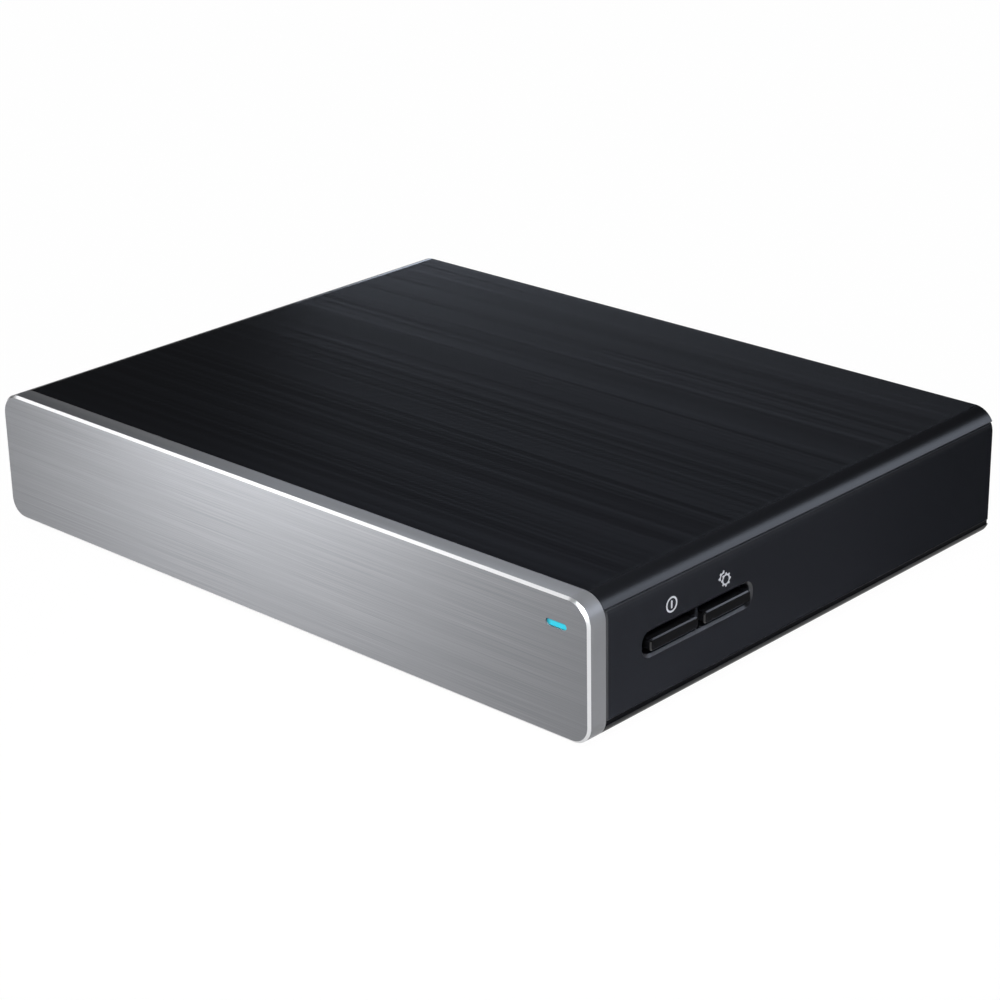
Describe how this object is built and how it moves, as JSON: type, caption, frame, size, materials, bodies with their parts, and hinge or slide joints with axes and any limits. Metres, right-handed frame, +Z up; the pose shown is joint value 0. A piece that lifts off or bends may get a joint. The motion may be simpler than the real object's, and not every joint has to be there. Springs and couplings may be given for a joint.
{
  "type": "media player",
  "caption": "Low black box with a brushed aluminium front, two side push buttons, rear sockets and a hard disk inside; plays stored video and sound.",
  "frame": {"origin": "on the floor under the middle of the case", "axes": "+X to the right seen from the front, -Y out of the front panel, +Z up"},
  "size_m": [0.2009, 0.152, 0.0355],
  "materials": {
    "front_aluminium": "horizontal hairline brushing with a bright cut bevel",
    "black_cover": "black with a fine hairline along the width",
    "black_side": "fine satin black",
    "rear_plastic": "moulded black",
    "carrier_plastic": "moulded black",
    "button_gloss": "gloss black",
    "foot_rubber": "matt black",
    "light_pipe": "clear, lit cyan",
    "light_emitter": "plain",
    "circuit_board": "green solder mask",
    "switch_plastic": "moulded black",
    "switch_plunger": "moulded ivory",
    "socket_metal": "tinned",
    "socket_plastic": "moulded black",
    "shutter_plastic": "moulded dark grey",
    "screw_steel": "zinc plated",
    "chip_plastic": "moulded black",
    "thermal_rubber": "soft grey",
    "sink_aluminium": "extruded",
    "pin_plastic": "moulded white",
    "shield_metal": "tinned",
    "antenna_film": "amber film",
    "lead_jacket": "black jacket",
    "bracket_steel": "zinc plated",
    "grommet_rubber": "matt black",
    "drive_cast": "as cast",
    "drive_lid_steel": "stamped",
    "hub_aluminium": "turned",
    "platter_mirror": "polished"
  },
  "bodies": {
    "case": {"front_panel": "front_aluminium", "top_cover": "black_cover", "bottom_cover": "black_cover", "left_side_panel": "black_side", "right_side_panel": "black_side", "rear_panel": "rear_plastic", "front_carrier": "carrier_plastic", "foot_front_left": "foot_rubber", "foot_rear_left": "foot_rubber", "foot_front_right": "foot_rubber", "foot_rear_right": "foot_rubber", "led_lens": "light_pipe", "status_led": "light_emitter", "led_board": "circuit_board", "button_board": "circuit_board", "main_board": "circuit_board", "drive_board": "circuit_board", "power_switch": "switch_plastic", "settings_switch": "switch_plastic", "hdmi_socket": "socket_metal", "usb_socket_right": "socket_metal", "usb_socket_left": "socket_metal", "ethernet_socket": "socket_metal", "dc_jack": "socket_plastic", "optical_socket": "socket_plastic", "sata_socket": "socket_plastic", "case_screws": "screw_steel", "board_screws": "screw_steel", "bracket_screws": "screw_steel", "drive_screws": "screw_steel", "processor": "chip_plastic", "memory_chips": "chip_plastic", "thermal_pad": "thermal_rubber", "heat_sink": "sink_aluminium", "heat_sink_pins": "pin_plastic", "wireless_module": "shield_metal", "side_antenna": "antenna_film", "top_antenna": "antenna_film", "side_coax": "lead_jacket", "top_coax": "lead_jacket", "drive_bracket": "bracket_steel", "drive_grommets": "grommet_rubber", "drive_base": "drive_cast", "drive_lid": "drive_lid_steel", "coil_magnets": "drive_lid_steel"},
    "power_button": {"power_button": "button_gloss", "power_switch_plunger": "switch_plunger"},
    "settings_button": {"settings_button": "button_gloss", "settings_switch_plunger": "switch_plunger"},
    "optical_shutter": {"optical_shutter": "shutter_plastic"},
    "drive_spindle": {"spindle_hub": "hub_aluminium", "platter": "platter_mirror"},
    "drive_actuator": {"actuator_arm": "hub_aluminium"}
  },
  "joints": [
    {"name": "power_button_press", "type": "slide", "parent": "case", "child": "power_button", "axis": [-1, 0, 0], "range_m": [0, 0.0005], "stiffness_N_per_m": 2000},
    {"name": "settings_button_press", "type": "slide", "parent": "case", "child": "settings_button", "axis": [-1, 0, 0], "range_m": [0, 0.0005], "stiffness_N_per_m": 2000},
    {"name": "optical_shutter_swing", "type": "hinge", "parent": "case", "child": "optical_shutter", "pos_m": [0.026, 0.074, 0.0178], "axis": [-1, 0, 0], "range_deg": [0, 80], "stiffness_Nm_per_rad": 0.0005},
    {"name": "drive_platter_spin", "type": "hinge", "parent": "case", "child": "drive_spindle", "pos_m": [-0.047, -0.02958, 0.0137], "axis": [0, 0, 1], "continuous": true},
    {"name": "drive_arm_swing", "type": "hinge", "parent": "case", "child": "drive_actuator", "pos_m": [-0.033, 0.00842, 0.0137], "axis": [0, 0, 1], "range_deg": [0, 26]}
  ]
}
